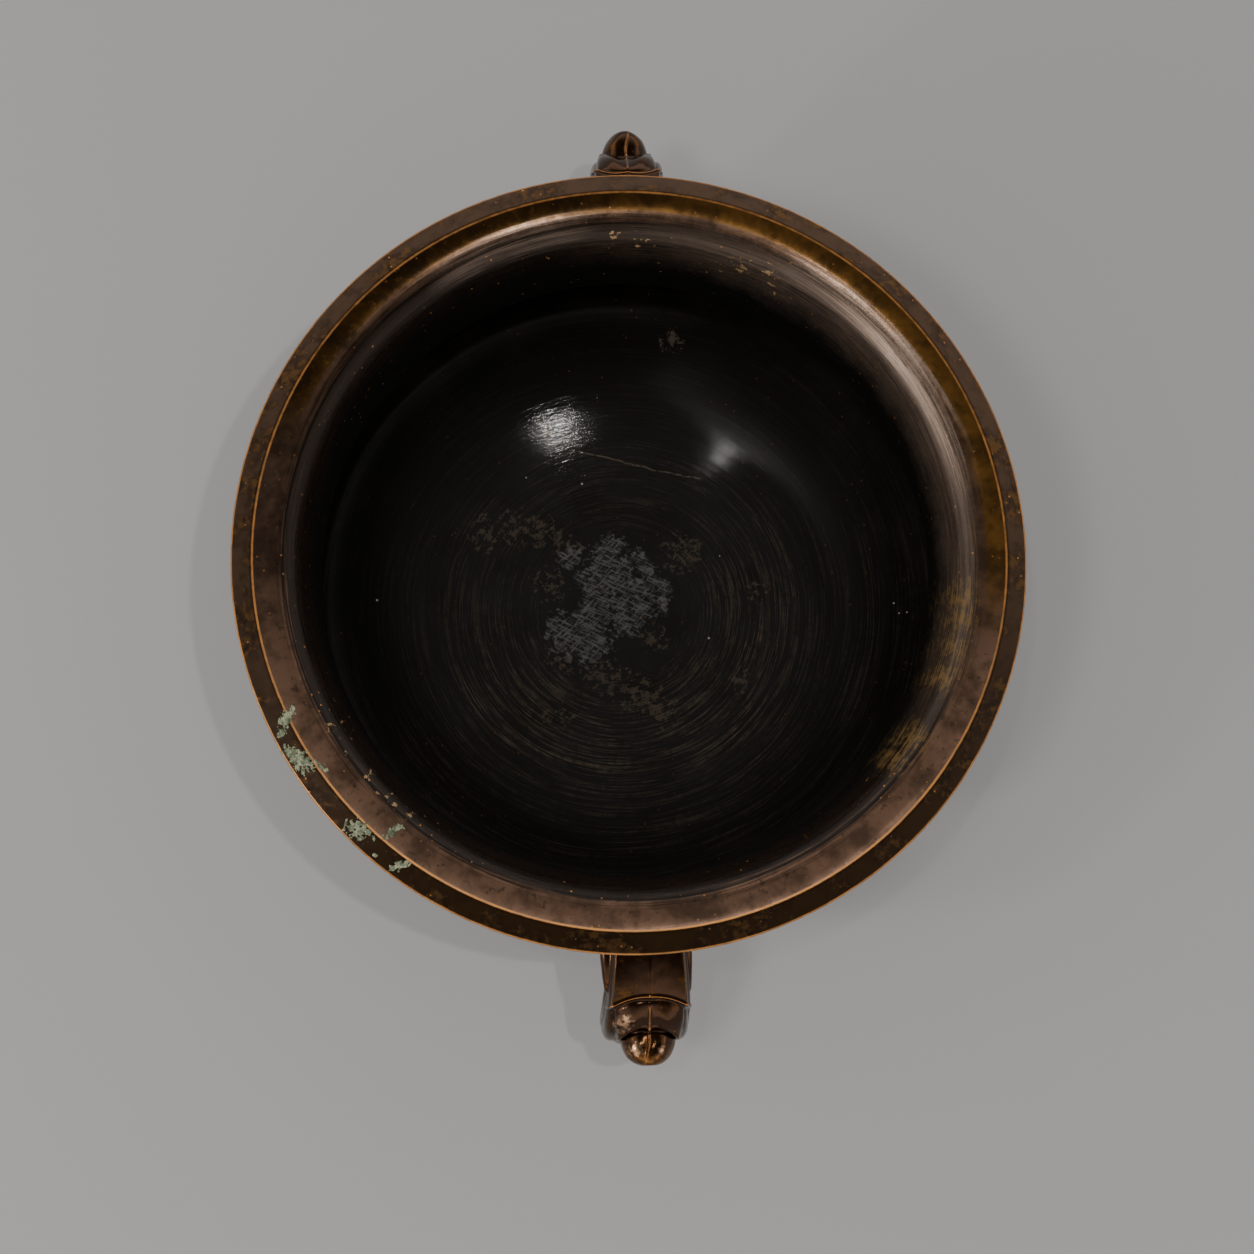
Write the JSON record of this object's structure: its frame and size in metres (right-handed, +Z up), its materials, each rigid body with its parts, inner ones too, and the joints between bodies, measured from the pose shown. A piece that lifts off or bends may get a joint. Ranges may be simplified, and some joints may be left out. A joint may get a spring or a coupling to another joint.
{
  "type": "ritual bowl",
  "caption": "Cast bronze ritual bowl or censer: everted lip, narrow throat, swelling body, spreading foot ring and a beast-head loop handle front and back.",
  "frame": {"origin": "on the ground under the middle of the foot ring, which is the middle of the bounding box's underside", "axes": "+Z up out of the mouth, +Y from the handle that faces the viewer to the one behind, +X to the right"},
  "size_m": [0.16, 0.202, 0.0775],
  "materials": {
    "patinated_bronze": "dark brown patinated bronze, worn to copper on edges and blackened inside the bowl"
  },
  "bodies": {
    "root": {"ritual_bowl": "patinated_bronze"}
  },
  "joints": []
}
